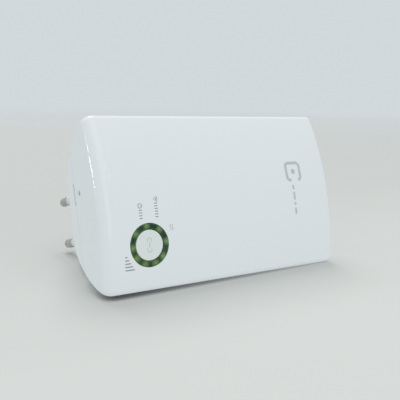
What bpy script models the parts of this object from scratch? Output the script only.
"""Plug-in Wi-Fi range extender: a crowned two-shell case with a round two-pin plug on its back.

Frame: X to the device's right, Y from the front face towards the wall, Z up. The origin is the centre of
the plug face, midway between the two pins. Sizes are in millimetres and are scaled to metres on the way
into a mesh. A "depth" is measured back from the foremost line of the crowned front face.
"""

import math

import bmesh
import bpy
from mathutils import Matrix, Vector

MM = 0.001
GAP = 0.3  # clearance between pieces that touch on the real object
SMOOTH_ANGLE = math.radians(32)

# Overall size
LENGTH = 110.0
HALF_WIDTH = 32.9
PLUG_FACE_DEPTH = 56.2
PIN_LENGTH = 19.0
PIN_HEIGHT = 16.0  # pins above the bottom end
BOTTOM = -PIN_HEIGHT
TOP = BOTTOM + LENGTH

# Cross-section of the case: a shallow front arc, a tight side round and a deeper rear arc with a flat
FRONT_ARC = 115.0
SIDE_ROUND = 2.2
REAR_ARC = 34.0
REAR_FLAT_DEPTH = 28.4
SEAM_DEPTH = 20.5
WALL = 2.0
# Edge rounds at the two ends: their length along Z, and how far the sides, front and rear draw in
END_STEPS = 4
BOTTOM_ROUND = {"z": 4.0, "side": 2.6, "front": 4.4, "rear": 1.6}
TOP_ROUND = {"z": 1.6, "side": 1.8, "front": 1.2, "rear": 1.0}

# Raised housing on the back, ending in the plug face
HOUSING_BASE_DEPTH = 27.0
HOUSING_HALF_WIDTH = 22.0
HOUSING_LOW = -3.6
HOUSING_HIGH = 46.0
HOUSING_CORNER = 9.0
DRAFT_SIDE = 0.06
DRAFT_LOW = 0.355
DRAFT_HIGH = 0.20
HOUSING_EDGE = 1.2

# Plug pins
PIN_SPACING = 19.0
PIN_RADIUS = 2.0
PIN_CORE_RADIUS = 1.15
SLEEVE_BORE = 1.35
SLEEVE_LENGTH = 10.0
PIN_TAIL_Y = -12.4
CARRIER_Z = (-2.1, 7.0)
CARRIER_HALF_WIDTH = 15.0
CARRIER_DEPTH = (46.0, PLUG_FACE_DEPTH - WALL - GAP)
NOSE_LENGTH = 1.5  # the rounded tip of a pin
NOSE_STEPS = 5
WIRE_RADIUS = 0.75
WIRE_STEPS = 4
# A mains lead's way from the tail of its pin up to the power board, as (distance from the middle, depth, z)
MAINS_ROUTE = (
    (12.4, 45.0, 1.0),
    (13.6, 44.6, 5.0),
    (14.6, 42.0, 10.0),
    (14.8, 37.0, 13.5),
    (14.6, 32.6, 14.8),
    (14.4, 29.8, 15.0),
)

# Light ring and button, on the lower right of the front face
RING_X = 16.5
RING_Z = 2.4
RING_RADIUS = 8.0
RING_BORE = 5.75
RING_BORE_REAR = 6.8
RING_STEP_DEPTH = 4.0
RING_FLANGE_RADIUS = 9.2
RING_FLANGE_DEPTH = (5.2, 6.3)
RING_BACK_DEPTH = 8.5
CAP_RADIUS = RING_BORE - GAP
CAP_FLANGE_RADIUS = 6.4
CAP_BACK_DEPTH = 5.5
CAP_HOLLOW_RADIUS = 4.6
CAP_HOLLOW_DEPTH = 3.6
STEM_RADIUS = 1.6
STEM_DEPTH = (3.9, 6.0)

# Switches
TACT_DEPTH = (7.2, 9.7)
TACT_HALF = 3.0
TACT_WELL_DEPTH = 9.2
PLUNGER_DEPTH = (6.2, 8.0)
PLUNGER_RADIUS = 1.65
PLUNGER_GAP = 0.2
RESET_X = -6.0
RESET_DEPTH = 16.9
RESET_HOLE_RADIUS = 1.0
RESET_PLUNGER_Z = (-12.2, -6.6)
RESET_PLUNGER_RADIUS = 1.1
RESET_HALF_WIDTH = 3.0
RESET_BODY_Z = (-9.0, -5.2)
RESET_WELL_Z = -6.0

# Boards
BOARD_DEPTH = (10.0, 11.6)
BOARD_HALF_WIDTH = 26.5
BOARD_Z = (-12.0, 62.0)
POWER_BOARD_DEPTH = (27.6, 29.2)
POWER_BOARD_HALF_WIDTH = 18.8
POWER_BOARD_Z = (-5.0, 43.5)
ON_BOARD = BOARD_DEPTH[1] + GAP
ON_POWER_BOARD = POWER_BOARD_DEPTH[1] + GAP
# Status lights round the ring, as (how many, first angle, step) from +X towards +Z, in degrees: five
# that show the signal, then four for power and the links
LED_ARCS = ((5, -84.0, 33.5), (4, 96.0, 45.5))
LED_ORBIT = 7.45
LED_HALF = (0.6, 0.4)
BOARD_HOLE_RADIUS = 1.6
SHEET_DEPTH = (24.6, 25.0)
SHEET_Z = (5.0, 44.0)

# Shield can over the radio chip, on the back of the main board
CAN_HALF_WIDTH = 12.0
CAN_Z = (26.0, 48.0)
CAN_HEIGHT = 2.8
CAN_WALL = 0.3

# Antennas beside the top of the main board, and the leads to them as (distance from the middle, depth, z)
ANTENNA_X = (17.0, 25.0)
ANTENNA_DEPTH = (9.6, 10.4)
ANTENNA_Z = (66.0, 90.0)
ANTENNA_LEAD_RADIUS = 0.57
ANTENNA_ROUTE = (
    (6.0, 12.9, 49.2),
    (8.0, 13.2, 53.0),
    (12.0, 13.2, 59.0),
    (16.0, 12.6, 63.0),
    (19.5, 11.6, 67.0),
    (21.0, 11.3, 72.0),
)

# Ethernet socket, facing down out of the raised housing
JACK_HALF_WIDTH = 8.0
JACK_DEPTH = (29.5, 43.0)
JACK_Z = (-6.0, 15.0)
SOCKET_HALF_WIDTH = 6.1
SOCKET_DEPTH = (31.6, 39.8)
LATCH_HALF_WIDTH = 3.2
LATCH_DEPTH = 41.6
SOCKET_LENGTH = 13.5
CONTACT_START = 10.0

# Fasteners, as (x, z) of the right-hand one of each pair
CASE_SCREW = (9.0, 85.0)
BOARD_SCREW = (21.0, 55.0)
SCREW_RADIUS = 1.1
SCREW_CLEARANCE = 1.6
SCREW_BOSS_RADIUS = 4.3
SCREW_SEAT_DEPTH = 24.6
HEAD_WELL = 3.0
CASE_POST_DEPTH = 20.2
CASE_POST_RADIUS = 3.2
BOARD_POST_RADIUS = 2.6
POST_BORE = 1.4
CASE_SCREW_SIZE = (2.6, 10.0)  # head radius, shank length
BOARD_SCREW_SIZE = (2.4, 6.5)
HEAD_HEIGHT = 1.6
DRIVE_HALF = 0.75
DRIVE_DEPTH = 0.8

# Details of the rear cover
VENT_COUNT = 9
VENT_PITCH = 3.2
VENT_FIRST_Z = 13.0
VENT_HEIGHT = 1.4
VENT_DEPTH = (33.0, 47.0)
LABEL_Z = (12.5, 39.5)
LABEL_HALF_WIDTH = 14.5
LABEL_FLOOR_DEPTH = PLUG_FACE_DEPTH - 0.5
PRY_NOTCH_HALF_WIDTH = 4.2

# Turns that lay a shape made along Z along another axis
TURN = {"X": Matrix.Rotation(math.pi / 2, 4, "Y"), "Y": Matrix.Rotation(-math.pi / 2, 4, "X"), "Z": Matrix()}
SIDES = ((-1, "left"), (1, "right"))


def clear_scene():
    for obj in list(bpy.data.objects):
        bpy.data.objects.remove(obj, do_unlink=True)


def make_material(name, colour, roughness, metallic=0.0):
    made = bpy.data.materials.new(name)
    made.use_nodes = True
    shader = made.node_tree.nodes["Principled BSDF"]
    shader.inputs["Base Color"].default_value = (*colour, 1.0)
    shader.inputs["Roughness"].default_value = roughness
    shader.inputs["Metallic"].default_value = metallic
    made.diffuse_color = (*colour, 1.0)
    return made


def add_object(name, bm, material, origin=(0.0, 0.0, 0.0)):
    """Turn a bmesh in millimetres into an object in metres whose own origin is at the given point."""
    bmesh.ops.recalc_face_normals(bm, faces=bm.faces)
    bm.transform(Matrix.Scale(MM, 4) @ Matrix.Translation(-Vector(origin)))
    mesh = bpy.data.meshes.new(name)
    bm.to_mesh(mesh)
    bm.free()
    mesh.shade_smooth()
    mesh.set_sharp_from_angle(angle=SMOOTH_ANGLE)
    obj = bpy.data.objects.new(name, mesh)
    obj.location = Vector(origin) * MM
    if material:
        mesh.materials.append(material)
    else:
        obj.hide_render = True
        obj.display_type = "WIRE"
    bpy.context.scene.collection.objects.link(obj)
    return obj


def boolean(obj, operation, other, solver="EXACT"):
    modifier = obj.modifiers.new(operation.lower(), "BOOLEAN")
    modifier.operation = operation
    modifier.solver = solver
    modifier.object = other


def back(depth):
    """The Y of a depth behind the foremost line of the front face."""
    return depth - PLUG_FACE_DEPTH


# Shapes -----------------------------------------------------------------------------------------------


def add_box(bm, low, high):
    """A box between two corners given as (x, depth, z)."""
    size = [b - a for a, b in zip(low, high)]
    middle = [(a + b) / 2 for a, b in zip(low, high)]
    middle[1] = back(middle[1])
    matrix = Matrix.Translation(middle) @ Matrix.Diagonal((*size, 1.0))
    return bmesh.ops.create_cube(bm, size=1.0, matrix=matrix)["verts"]


def box(name, low, high, material=None, bevel=0.0):
    bm = bmesh.new()
    add_box(bm, low, high)
    if bevel:
        bmesh.ops.bevel(bm, geom=bm.edges[:], offset=bevel, segments=2, affect="EDGES", profile=0.5)
    return add_object(name, bm, material)


def add_tube(bm, start, axis, length, radius, bore=0.0, segments=24):
    """A round bar, or a tube where bore is given, along one of the axes X, Y or Z from its start point."""
    place = Matrix.Translation((start[0], back(start[1]), start[2])) @ TURN[axis]
    if bore:
        profile = [(radius, 0.0), (radius, length), (bore, length), (bore, 0.0)]
    else:
        profile = [(0.0, 0.0), (radius, 0.0), (radius, length), (0.0, length)]
    add_turned(bm, profile, place, segments)


def add_turned(bm, profile, place, segments):
    """Revolve (radius, height) points about the local Z axis. Points on the axis close the ends."""
    rings = []
    for radius, height in profile:
        if radius == 0.0:
            rings.append([bm.verts.new(place @ Vector((0.0, 0.0, height)))])
            continue
        circle = arc((0.0, 0.0), radius, 0.0, 2 * math.pi, segments)[:-1]
        rings.append([bm.verts.new(place @ Vector((x, y, height))) for x, y in circle])
    pairs = list(zip(rings, rings[1:]))
    if profile[0][0] != 0.0:
        pairs.append((rings[-1], rings[0]))
    for first, second in pairs:
        for i in range(segments):
            j = (i + 1) % segments
            corners = [first[i % len(first)], first[j % len(first)]]
            corners += [second[j % len(second)], second[i % len(second)]]
            corners = list(dict.fromkeys(corners))
            if len(corners) > 2:
                bm.faces.new(corners)


def tube(name, start, axis, length, radius, material=None, bore=0.0, segments=24, origin=(0.0, 0.0, 0.0)):
    bm = bmesh.new()
    add_tube(bm, start, axis, length, radius, bore, segments)
    return add_object(name, bm, material, origin)


def turned_on_button(name, profile, material, segments=36):
    """Revolve (radius, depth) points about the button's axis."""
    bm = bmesh.new()
    place = Matrix.Translation((RING_X, 0.0, RING_Z)) @ TURN["Y"]
    add_turned(bm, [(radius, back(depth)) for radius, depth in profile], place, segments)
    return add_object(name, bm, material, (RING_X, 0.0, RING_Z))


def loft(bm, rings):
    """Skin a row of point rings of equal length and cap both ends."""
    rows = [[bm.verts.new(point) for point in ring] for ring in rings]
    count = len(rows[0])
    for first, second in zip(rows, rows[1:]):
        for i in range(count):
            j = (i + 1) % count
            bm.faces.new((first[i], first[j], second[j], second[i]))
    bm.faces.new(rows[0])
    bm.faces.new(rows[-1])


def arc(centre, radius, start, end, steps):
    """Points on a circle from one angle to another, both included."""
    angles = [start + (end - start) * i / steps for i in range(steps + 1)]
    return [(centre[0] + radius * math.cos(a), centre[1] + radius * math.sin(a)) for a in angles]


def case_section(inset):
    """The case's outline across its length as (x, depth) points, drawn in by inset all round.

    The side round touches the front arc and the rear arc, which fixes its centre and the rear arc's centre.
    """
    side_x = HALF_WIDTH - SIDE_ROUND
    side_depth = FRONT_ARC - math.sqrt((FRONT_ARC - SIDE_ROUND) ** 2 - side_x**2)
    rear_centre = side_depth - math.sqrt((REAR_ARC - SIDE_ROUND) ** 2 - side_x**2)
    front_angle = math.atan2(side_depth - FRONT_ARC, side_x)
    rear_angle = math.atan2(side_depth - rear_centre, side_x)
    flat = REAR_FLAT_DEPTH - inset - rear_centre
    flat_angle = math.asin(flat / (REAR_ARC - inset))
    right = arc((0.0, FRONT_ARC), FRONT_ARC - inset, -math.pi / 2, front_angle, 8)
    right += arc((side_x, side_depth), max(SIDE_ROUND - inset, 0.3), front_angle, rear_angle, 4)[1:]
    right += arc((0.0, rear_centre), REAR_ARC - inset, rear_angle, flat_angle, 7)[1:]
    left = [(-x, depth) for x, depth in reversed(right[1:])]
    return right + left


def case_ring(section, z, shrink, edge):
    """The section at one height, drawn in by a share of an end's edge round."""
    middle = REAR_FLAT_DEPTH / 2
    points = []
    for x, depth in section:
        side = 1.0 - shrink * edge["side"] / HALF_WIDTH
        toward = 1.0 - shrink * (edge["front"] if depth < middle else edge["rear"]) / middle
        points.append((x * side, back(middle + (depth - middle) * toward), z))
    return points


def case_solid(name, inset, material=None):
    """The whole case as a plain solid, drawn in by inset: its outer skin, or the space inside its walls."""
    section = case_section(inset)
    shares = [i / END_STEPS for i in range(END_STEPS + 1)]
    shrinks = [1.0 - math.sqrt(1.0 - (1.0 - share) ** 2) for share in shares]
    rings = []
    for share, shrink in zip(shares, shrinks):
        rings.append(case_ring(section, BOTTOM + inset + share * BOTTOM_ROUND["z"], shrink, BOTTOM_ROUND))
    for share, shrink in zip(reversed(shares), reversed(shrinks)):
        rings.append(case_ring(section, TOP - inset - share * TOP_ROUND["z"], shrink, TOP_ROUND))
    bm = bmesh.new()
    loft(bm, rings)
    return add_object(name, bm, material)


def housing_ring(depth, inset, corner_steps=5):
    """The raised housing's rounded outline at one depth, narrower towards the plug face."""
    to_face = PLUG_FACE_DEPTH - max(depth, HOUSING_BASE_DEPTH)
    half = HOUSING_HALF_WIDTH + DRAFT_SIDE * to_face - inset
    low = HOUSING_LOW - DRAFT_LOW * to_face + inset
    high = HOUSING_HIGH + DRAFT_HIGH * to_face - inset
    radius = HOUSING_CORNER - inset
    points = []
    for turn, (x, z) in enumerate(((half, high), (-half, high), (-half, low), (half, low))):
        centre = (x - math.copysign(radius, x), z - radius if turn < 2 else z + radius)
        points += arc(centre, radius, turn * math.pi / 2, (turn + 1) * math.pi / 2, corner_steps)
    return [(x, back(depth), z) for x, z in points]


def housing_solid(name, inset, start, material=None):
    """The raised housing drawn in by inset. The outer skin has a rounded edge around the plug face."""
    bm = bmesh.new()
    if inset:
        rings = [housing_ring(start, inset), housing_ring(HOUSING_BASE_DEPTH, inset)]
        rings.append(housing_ring(PLUG_FACE_DEPTH - inset, inset))
    else:
        rings = [housing_ring(start, 0.0), housing_ring(HOUSING_BASE_DEPTH, 0.0)]
        for i in range(4):
            angle = i / 3 * math.pi / 2
            depth = PLUG_FACE_DEPTH - HOUSING_EDGE * (1.0 - math.sin(angle))
            rings.append(housing_ring(depth, HOUSING_EDGE * (1.0 - math.cos(angle))))
    loft(bm, rings)
    return add_object(name, bm, material)


# Case ---------------------------------------------------------------------------------------------------


def shape_case(cover, operation, other):
    """Cut or join a case shell. The shells' long chains of cuts need the manifold solver to stay closed."""
    boolean(cover, operation, other, "MANIFOLD")


def crown_depth(x):
    """Depth of the front face at a distance from its centre line."""
    return FRONT_ARC - math.sqrt(FRONT_ARC**2 - x**2)


def build_front_cover(white):
    cover = case_solid("front_cover", 0.0, white)
    shape_case(cover, "INTERSECT", box("front_half_guide", (-50, -5, -40), (50, SEAM_DEPTH, 120)))
    shape_case(cover, "DIFFERENCE", case_solid("front_cavity_cutter", WALL))
    case_post = (CASE_SCREW, CASE_POST_DEPTH, CASE_POST_RADIUS)
    board_post = (BOARD_SCREW, BOARD_DEPTH[0] - GAP, BOARD_POST_RADIUS)
    for (x, z), depth, radius in (case_post, board_post):
        for side in (-1, 1):
            start = crown_depth(x) + WALL / 2
            post = tube("post_guide", (side * x, start, z), "Y", depth - start, radius)
            shape_case(cover, "UNION", post)
            drill = tube("post_drill", (side * x, start + WALL, z), "Y", 40.0, POST_BORE, segments=16)
            shape_case(cover, "DIFFERENCE", drill)
    ring_hole = tube("ring_hole_cutter", (RING_X, -5, RING_Z), "Y", 12.0, RING_RADIUS + GAP, segments=48)
    shape_case(cover, "DIFFERENCE", ring_hole)
    start = (RESET_X, RESET_DEPTH, BOTTOM - WALL)
    pinhole = tube("pinhole_cutter", start, "Z", 2.5 * WALL, RESET_HOLE_RADIUS, segments=20)
    shape_case(cover, "DIFFERENCE", pinhole)


def build_rear_cover(white):
    cover = case_solid("rear_cover", 0.0, white)
    shape_case(cover, "UNION", housing_solid("housing_guide", 0.0, 16.0))
    shape_case(cover, "INTERSECT", box("rear_half_guide", (-50, SEAM_DEPTH + GAP, -40), (50, 70, 120)))
    shape_case(cover, "DIFFERENCE", case_solid("rear_cavity_cutter", WALL))
    shape_case(cover, "DIFFERENCE", housing_solid("housing_cavity_cutter", WALL, 12.0))
    for side in (-1, 1):
        x, z = side * CASE_SCREW[0], CASE_SCREW[1]
        boss = tube("screw_boss_guide", (x, SEAM_DEPTH + 2, z), "Y", 5.0, SCREW_BOSS_RADIUS)
        shape_case(cover, "UNION", boss)
        shape_case(cover, "DIFFERENCE", counterbore("screw_hole_cutter", x, z))
        pin = tube("pin_hole_cutter", (side * PIN_SPACING / 2, 50, 0), "Y", 12.0, PIN_RADIUS + GAP)
        shape_case(cover, "DIFFERENCE", pin)
    for corners in socket_boxes(-30.0, JACK_Z[0] + 1.0, GAP):
        shape_case(cover, "DIFFERENCE", cutter_of_boxes("socket_cutter", [corners]))
    shape_case(cover, "DIFFERENCE", cutter_of_boxes("vent_cutter", vent_boxes()))
    label = ((-LABEL_HALF_WIDTH, LABEL_FLOOR_DEPTH, LABEL_Z[0]), (LABEL_HALF_WIDTH, 60, LABEL_Z[1]))
    shape_case(cover, "DIFFERENCE", cutter_of_boxes("label_recess_cutter", [label]))
    low = (RESET_X - PRY_NOTCH_HALF_WIDTH, SEAM_DEPTH - 1, BOTTOM - 2)
    high = (RESET_X + PRY_NOTCH_HALF_WIDTH, SEAM_DEPTH + 1.3, BOTTOM + 0.9)
    shape_case(cover, "DIFFERENCE", cutter_of_boxes("pry_notch_cutter", [(low, high)]))


def counterbore(name, x, z):
    """A stepped hole for a case screw, which sinks its head below the rear flat."""
    start = SEAM_DEPTH - 5.0
    end = REAR_FLAT_DEPTH + 5.0
    profile = [(0.0, start), (SCREW_CLEARANCE, start), (SCREW_CLEARANCE, SCREW_SEAT_DEPTH)]
    profile += [(HEAD_WELL, SCREW_SEAT_DEPTH), (HEAD_WELL, end), (0.0, end)]
    bm = bmesh.new()
    place = Matrix.Translation((x, 0.0, z)) @ TURN["Y"]
    add_turned(bm, [(radius, back(depth)) for radius, depth in profile], place, 24)
    return add_object(name, bm, None)


def cutter_of_boxes(name, corners):
    bm = bmesh.new()
    for low, high in corners:
        add_box(bm, low, high)
    return add_object(name, bm, None)


def socket_boxes(low_z, high_z, grow):
    """The Ethernet plug's way in: the plug's own width and, behind it, the narrower slot for its latch."""
    plug_low = (-SOCKET_HALF_WIDTH - grow, SOCKET_DEPTH[0] - grow, low_z)
    plug_high = (SOCKET_HALF_WIDTH + grow, SOCKET_DEPTH[1] + grow, high_z)
    latch_low = (-LATCH_HALF_WIDTH - grow, SOCKET_DEPTH[1] - 1.0, low_z - 0.5)
    latch_high = (LATCH_HALF_WIDTH + grow, LATCH_DEPTH + grow, high_z - 0.5)
    return [(plug_low, plug_high), (latch_low, latch_high)]


def vent_boxes():
    heights = [VENT_FIRST_Z + i * VENT_PITCH for i in range(VENT_COUNT)]
    return [((-40.0, VENT_DEPTH[0], z), (40.0, VENT_DEPTH[1], z + VENT_HEIGHT)) for z in heights]


def build_fasteners(steel):
    for side, word in SIDES:
        case_place = Matrix.Translation((side * CASE_SCREW[0], 0.0, CASE_SCREW[1])) @ TURN["Y"]
        board_place = Matrix.Translation((side * BOARD_SCREW[0], 0.0, BOARD_SCREW[1])) @ TURN["Y"]
        screw("case_screw_" + word, case_place, SCREW_SEAT_DEPTH + GAP, CASE_SCREW_SIZE, steel)
        screw("board_screw_" + word, board_place, ON_BOARD, BOARD_SCREW_SIZE, steel)


def screw(name, place, seat_depth, size, material):
    """A pan-head screw driven forward, with a square drive recess in its head."""
    head_radius, shank = size
    top = seat_depth + HEAD_HEIGHT
    tip = seat_depth - shank
    profile = [(0.0, tip), (SCREW_RADIUS * 0.6, tip), (SCREW_RADIUS, tip + 0.8), (SCREW_RADIUS, seat_depth)]
    profile += [(head_radius, seat_depth), (head_radius, top - 0.5), (head_radius - 0.5, top), (0.0, top)]
    bm = bmesh.new()
    add_turned(bm, [(radius, back(depth)) for radius, depth in profile], place, 20)
    obj = add_object(name, bm, material)
    centre = place.translation
    low = (centre.x - DRIVE_HALF, top - DRIVE_DEPTH, centre.z - DRIVE_HALF)
    high = (centre.x + DRIVE_HALF, top + DRIVE_DEPTH, centre.z + DRIVE_HALF)
    boolean(obj, "DIFFERENCE", cutter_of_boxes("drive_cutter", [(low, high)]))


def build_label(paper):
    low = (-LABEL_HALF_WIDTH + GAP, LABEL_FLOOR_DEPTH + 0.1, LABEL_Z[0] + GAP)
    high = (LABEL_HALF_WIDTH - GAP, LABEL_FLOOR_DEPTH + 0.3, LABEL_Z[1] - GAP)
    box("rating_label", low, high, paper)


# Plug -----------------------------------------------------------------------------------------------------


def build_plug(nickel, white, black):
    low = (-CARRIER_HALF_WIDTH, CARRIER_DEPTH[0], CARRIER_Z[0])
    high = (CARRIER_HALF_WIDTH, CARRIER_DEPTH[1], CARRIER_Z[1])
    carrier = box("pin_carrier", low, high, black, 0.4)
    for side, word in SIDES:
        x = side * PIN_SPACING / 2
        boolean(carrier, "DIFFERENCE", tube("carrier_bore_cutter", (x, 40.0, 0.0), "Y", 20.0, SLEEVE_BORE))
        place = Matrix.Translation((x, 0.0, 0.0)) @ TURN["Y"]
        shoulder = SLEEVE_LENGTH + GAP
        nose_start = PIN_LENGTH - NOSE_LENGTH
        turns = [math.pi / 2 * i / NOSE_STEPS for i in range(NOSE_STEPS)]
        nose = [(PIN_RADIUS * math.cos(a), nose_start + NOSE_LENGTH * math.sin(a)) for a in turns]
        profile = [(0.0, PIN_TAIL_Y), (PIN_CORE_RADIUS, PIN_TAIL_Y), (PIN_CORE_RADIUS, shoulder)]
        profile += [(PIN_RADIUS, shoulder), *nose, (0.0, PIN_LENGTH)]
        bm = bmesh.new()
        add_turned(bm, profile, place, 32)
        add_object("plug_pin_" + word, bm, nickel)
        sleeve_start = PLUG_FACE_DEPTH - WALL + GAP
        sleeve_length = SLEEVE_LENGTH + WALL - GAP
        start = (x, sleeve_start, 0.0)
        tube("pin_sleeve_" + word, start, "Y", sleeve_length, PIN_RADIUS, white, SLEEVE_BORE, 32)


def build_mains_wires(brown, blue):
    for name, side, material in (("live_wire", -1, brown), ("neutral_wire", 1, blue)):
        wire(name, [(side * x, depth, z) for x, depth, z in MAINS_ROUTE], WIRE_RADIUS, material)


def wire(name, route, radius, material):
    """A round lead along a smooth curve through the route's (x, depth, z) points."""
    points = [Vector((x, back(depth), z)) * MM for x, depth, z in route]
    padded = [2 * points[0] - points[1], *points, 2 * points[-1] - points[-2]]
    smooth = []
    for before, start, end, after in zip(padded, padded[1:], padded[2:], padded[3:]):
        for i in range(WIRE_STEPS):
            smooth.append(catmull_rom(before, start, end, after, i / WIRE_STEPS))
    smooth.append(points[-1])
    curve = bpy.data.curves.new(name, "CURVE")
    curve.dimensions = "3D"
    curve.bevel_depth = radius * MM
    curve.bevel_resolution = 2
    curve.use_fill_caps = True
    spline = curve.splines.new("POLY")
    spline.points.add(len(smooth) - 1)
    for point, place in zip(spline.points, smooth):
        point.co = (*place, 1.0)
    curve.materials.append(material)
    bpy.context.scene.collection.objects.link(bpy.data.objects.new(name, curve))


def catmull_rom(before, start, end, after, t):
    """A point a share t of the way from start to end, on the smooth curve through all four points."""
    linear = end - before
    square = 2 * before - 5 * start + 4 * end - after
    cube = 3 * start - before - 3 * end + after
    return (2 * start + linear * t + square * t**2 + cube * t**3) / 2


# Light ring, button and switches --------------------------------------------------------------------------


def build_ring_and_button(diffuser, white):
    """Both are turned up to a plane in front of the case and then cut back to its crown."""
    crown = case_solid("crown_guide", 0.0)
    proud = -2.0
    ring_profile = [(RING_BORE, RING_STEP_DEPTH), (RING_BORE, proud), (RING_RADIUS, proud)]
    ring_profile += [(RING_RADIUS, RING_FLANGE_DEPTH[0]), (RING_FLANGE_RADIUS, RING_FLANGE_DEPTH[0])]
    ring_profile += [(RING_FLANGE_RADIUS, RING_FLANGE_DEPTH[1]), (RING_RADIUS, RING_FLANGE_DEPTH[1])]
    ring_profile += [(RING_RADIUS, RING_BACK_DEPTH), (RING_BORE_REAR, RING_BACK_DEPTH)]
    ring_profile += [(RING_BORE_REAR, RING_STEP_DEPTH)]
    ring = turned_on_button("light_ring", ring_profile, diffuser)
    boolean(ring, "INTERSECT", crown)
    flange = RING_STEP_DEPTH + GAP
    cap_profile = [(0.0, proud), (CAP_RADIUS, proud), (CAP_RADIUS, flange), (CAP_FLANGE_RADIUS, flange)]
    cap_profile += [(CAP_FLANGE_RADIUS, CAP_BACK_DEPTH), (CAP_HOLLOW_RADIUS, CAP_BACK_DEPTH)]
    cap_profile += [(CAP_HOLLOW_RADIUS, CAP_HOLLOW_DEPTH), (0.0, CAP_HOLLOW_DEPTH)]
    cap = turned_on_button("button_cap", cap_profile, white)
    boolean(cap, "INTERSECT", crown)
    stem_profile = [(0.0, STEM_DEPTH[0]), (STEM_RADIUS, STEM_DEPTH[0])]
    stem_profile += [(STEM_RADIUS, STEM_DEPTH[1]), (0.0, STEM_DEPTH[1])]
    turned_on_button("button_stem", stem_profile, white, 24)


def build_tact_switch(black, white):
    low = (RING_X - TACT_HALF, TACT_DEPTH[0], RING_Z - TACT_HALF)
    high = (RING_X + TACT_HALF, TACT_DEPTH[1], RING_Z + TACT_HALF)
    body = box("tact_switch_body", low, high, black, 0.25)
    start = (RING_X, PLUNGER_DEPTH[0], RING_Z)
    well_length = TACT_WELL_DEPTH - PLUNGER_DEPTH[0]
    well = tube("tact_well_cutter", start, "Y", well_length, PLUNGER_RADIUS + PLUNGER_GAP)
    boolean(body, "DIFFERENCE", well)
    chamfer = 0.2
    profile = [(0.0, PLUNGER_DEPTH[0]), (PLUNGER_RADIUS - chamfer, PLUNGER_DEPTH[0])]
    profile += [(PLUNGER_RADIUS, PLUNGER_DEPTH[0] + chamfer), (PLUNGER_RADIUS, PLUNGER_DEPTH[1])]
    profile += [(0.0, PLUNGER_DEPTH[1])]
    turned_on_button("tact_switch_plunger", profile, white, 24)


def build_reset_switch(black, white):
    low = (RESET_X - RESET_HALF_WIDTH, ON_BOARD, RESET_BODY_Z[0])
    high = (RESET_X + RESET_HALF_WIDTH, RESET_DEPTH + 2.4, RESET_BODY_Z[1])
    body = box("reset_switch_body", low, high, black, 0.25)
    bottom, top = RESET_PLUNGER_Z
    radius = RESET_PLUNGER_RADIUS
    start = (RESET_X, RESET_DEPTH, bottom)
    well = tube("reset_well_cutter", start, "Z", RESET_WELL_Z - bottom, radius + PLUNGER_GAP, segments=20)
    boolean(body, "DIFFERENCE", well)
    origin = (RESET_X, back(RESET_DEPTH), bottom)
    tube("reset_switch_plunger", start, "Z", top - bottom, radius, white, origin=origin)


# Electronics ----------------------------------------------------------------------------------------------


def board(name, half_width, depth, heights, material, holes=()):
    obj = box(name, (-half_width, depth[0], heights[0]), (half_width, depth[1], heights[1]), material)
    for x, z in holes:
        start = (x, depth[0] - WALL, z)
        length = depth[1] - depth[0] + 2 * WALL
        hole = tube("board_hole_cutter", start, "Y", length, BOARD_HOLE_RADIUS, segments=20)
        boolean(obj, "DIFFERENCE", hole)


def build_boards(green, film):
    holes = [(side * BOARD_SCREW[0], BOARD_SCREW[1]) for side, _ in SIDES]
    board("main_board", BOARD_HALF_WIDTH, BOARD_DEPTH, BOARD_Z, green, holes)
    board("power_board", POWER_BOARD_HALF_WIDTH, POWER_BOARD_DEPTH, POWER_BOARD_Z, green)
    board("insulation_sheet", POWER_BOARD_HALF_WIDTH - 0.5, SHEET_DEPTH, SHEET_Z, film)


def build_leds(led):
    """The status lights sit in a circle under the ring's back edge."""
    angles = [math.radians(first + step * i) for count, first, step in LED_ARCS for i in range(count)]
    for i, angle in enumerate(angles):
        x = RING_X + LED_ORBIT * math.cos(angle)
        z = RING_Z + LED_ORBIT * math.sin(angle)
        low = (x - LED_HALF[0], RING_BACK_DEPTH + GAP, z - LED_HALF[1])
        high = (x + LED_HALF[0], BOARD_DEPTH[0] - GAP, z + LED_HALF[1])
        box("led_%d" % (i + 1), low, high, led)


def part_on(face, name, x_range, height, z_range, material, bevel=0.2):
    """A block-shaped component standing on the back of a board, up to a height above it."""
    low = (x_range[0], face, z_range[0])
    high = (x_range[1], face + height, z_range[1])
    return box(name, low, high, material, bevel)


def build_radio(tin, black, white):
    can = part_on(ON_BOARD, "shield_can", (-CAN_HALF_WIDTH, CAN_HALF_WIDTH), CAN_HEIGHT, CAN_Z, tin, 0.15)
    inner = CAN_HALF_WIDTH - CAN_WALL
    low = (-inner, ON_BOARD - WALL, CAN_Z[0] + CAN_WALL)
    high = (inner, ON_BOARD + CAN_HEIGHT - CAN_WALL, CAN_Z[1] - CAN_WALL)
    boolean(can, "DIFFERENCE", box("shield_cavity_cutter", low, high))
    part_on(ON_BOARD, "wifi_chip", (-5, 5), 1.0, (32, 42), black, 0.15)
    part_on(ON_BOARD, "memory_chip", (-22, -15), 1.1, (30, 41), black, 0.15)
    part_on(ON_BOARD, "flash_chip", (15, 20), 1.6, (30, 36), black, 0.15)
    part_on(ON_BOARD, "network_transformer", (-18, -4), 2.6, (6, 14), black)
    between_boards = POWER_BOARD_DEPTH[0] - GAP - ON_BOARD
    part_on(ON_BOARD, "board_link_header", (10, 18), between_boards, (0, 2.6), white)


def build_antennas(green, black):
    for side, word in SIDES:
        near, far = sorted(side * x for x in ANTENNA_X)
        low = (near, ANTENNA_DEPTH[0], ANTENNA_Z[0])
        high = (far, ANTENNA_DEPTH[1], ANTENNA_Z[1])
        box("antenna_" + word, low, high, green)
        route = [(side * x, depth, z) for x, depth, z in ANTENNA_ROUTE]
        wire("antenna_cable_" + word, route, ANTENNA_LEAD_RADIUS, black)


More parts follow.
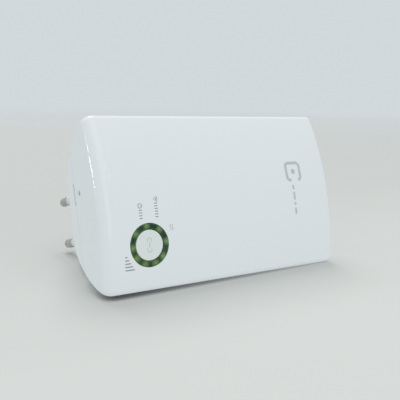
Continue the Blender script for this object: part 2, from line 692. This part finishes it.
def build_ethernet_jack(tin, black):
    low = (-JACK_HALF_WIDTH, JACK_DEPTH[0], JACK_Z[0])
    high = (JACK_HALF_WIDTH, JACK_DEPTH[1], JACK_Z[1])
    jack = box("ethernet_jack", low, high, tin, 0.2)
    socket_top = JACK_Z[0] + SOCKET_LENGTH
    for corners in socket_boxes(JACK_Z[0] - 2.0, socket_top, 0.0):
        boolean(jack, "DIFFERENCE", cutter_of_boxes("jack_cavity_cutter", [corners]))
    low = (-SOCKET_HALF_WIDTH + GAP, SOCKET_DEPTH[0] + GAP, JACK_Z[0] + CONTACT_START)
    high = (SOCKET_HALF_WIDTH - GAP, SOCKET_DEPTH[1] - GAP - 1.0, socket_top - GAP)
    box("jack_contact_block", low, high, black, 0.2)


def build_power_parts(black, grey, blue, yellow, ferrite, glass, tin):
    """Parts stand on the back of the power board, above the pins."""
    face = ON_POWER_BOARD
    tube("fuse", (-15.0, face + 2.0, 17.5), "Z", 10.0, 1.8, glass, segments=16)
    part_on(face, "common_mode_choke", (4, 13), 9.5, (17.5, 26), ferrite, 0.6)
    part_on(face, "x_capacitor", (-10.5, 1.5), 10.0, (17.5, 22.5), yellow, 0.5)
    part_on(face, "bridge_rectifier", (-9, -3), 2.5, (24.5, 30), black)
    tube("y_capacitor", (-1.6, face + 3.6, 28.0), "X", 2.8, 3.5, blue, segments=20)
    for word, x, z in (("a", -14.2, 33.0), ("b", -5.2, 36.0)):
        can_capacitor("bulk_capacitor_" + word, x, z, 4.0, 14.0, black)
    can_capacitor("output_capacitor", 17.0, 21.5, 3.1, 10.0, grey)
    core = part_on(face, "transformer_core", (2.5, 16.5), 12.5, (31, 38), ferrite, 0.4)
    window = part_on(face + 2.5, "core_window_cutter", (5.0, 14.0), 7.5, (28, 42), None, 0.0)
    boolean(core, "DIFFERENCE", window)
    part_on(face + 2.5 + GAP, "transformer_winding", (5.3, 13.7), 6.9, (28.4, 41.6), yellow, 0.6)
    front = POWER_BOARD_DEPTH[0] - GAP - 1.5
    part_on(front, "power_controller", (-4, 1), 1.5, (22, 26), black, 0.15)


def can_capacitor(name, x, z, radius, length, material):
    """A can capacitor standing on the power board, with the crimped groove near its base."""
    groove = [(radius, 0.8), (radius - 0.3, 1.3), (radius, 1.8)]
    rim = [(radius, length - 0.4), (radius - 0.4, length)]
    outline = [(0.0, 0.0), (radius, 0.0), *groove, *rim, (0.0, length)]
    place = Matrix.Translation((x, back(ON_POWER_BOARD), z)) @ TURN["Y"]
    bm = bmesh.new()
    add_turned(bm, outline, place, 20)
    add_object(name, bm, material)


def main():
    clear_scene()
    white = make_material("gloss_white_plastic", (0.82, 0.83, 0.83), 0.22)
    pin_white = make_material("white_nylon", (0.80, 0.80, 0.78), 0.5)
    diffuser = make_material("green_light_pipe", (0.03, 0.12, 0.04), 0.3)
    nickel = make_material("nickel_plate", (0.62, 0.62, 0.60), 0.28, 1.0)
    steel = make_material("zinc_steel", (0.55, 0.56, 0.58), 0.35, 1.0)
    tin = make_material("tin_plate", (0.68, 0.69, 0.70), 0.3, 1.0)
    black = make_material("black_plastic", (0.02, 0.02, 0.022), 0.5)
    grey = make_material("grey_sleeve", (0.25, 0.26, 0.28), 0.4)
    green = make_material("board_laminate", (0.03, 0.20, 0.08), 0.4)
    film = make_material("insulating_film", (0.75, 0.72, 0.62), 0.3)
    led = make_material("led_lens", (0.55, 0.85, 0.40), 0.25)
    paper = make_material("label_stock", (0.78, 0.79, 0.80), 0.6)
    ferrite = make_material("ferrite", (0.06, 0.06, 0.065), 0.6)
    yellow = make_material("yellow_tape", (0.75, 0.55, 0.08), 0.45)
    blue = make_material("blue_coating", (0.05, 0.16, 0.45), 0.4)
    brown = make_material("brown_insulation", (0.22, 0.09, 0.04), 0.45)
    glass = make_material("fuse_glass", (0.75, 0.78, 0.76), 0.1)
    build_front_cover(white)
    build_rear_cover(white)
    build_fasteners(steel)
    build_label(paper)
    build_plug(nickel, pin_white, black)
    build_mains_wires(brown, blue)
    build_ring_and_button(diffuser, white)
    build_tact_switch(black, pin_white)
    build_reset_switch(black, pin_white)
    build_boards(green, film)
    build_leds(led)
    build_radio(tin, black, pin_white)
    build_antennas(green, black)
    build_ethernet_jack(tin, black)
    build_power_parts(black, grey, blue, yellow, ferrite, glass, tin)


main()
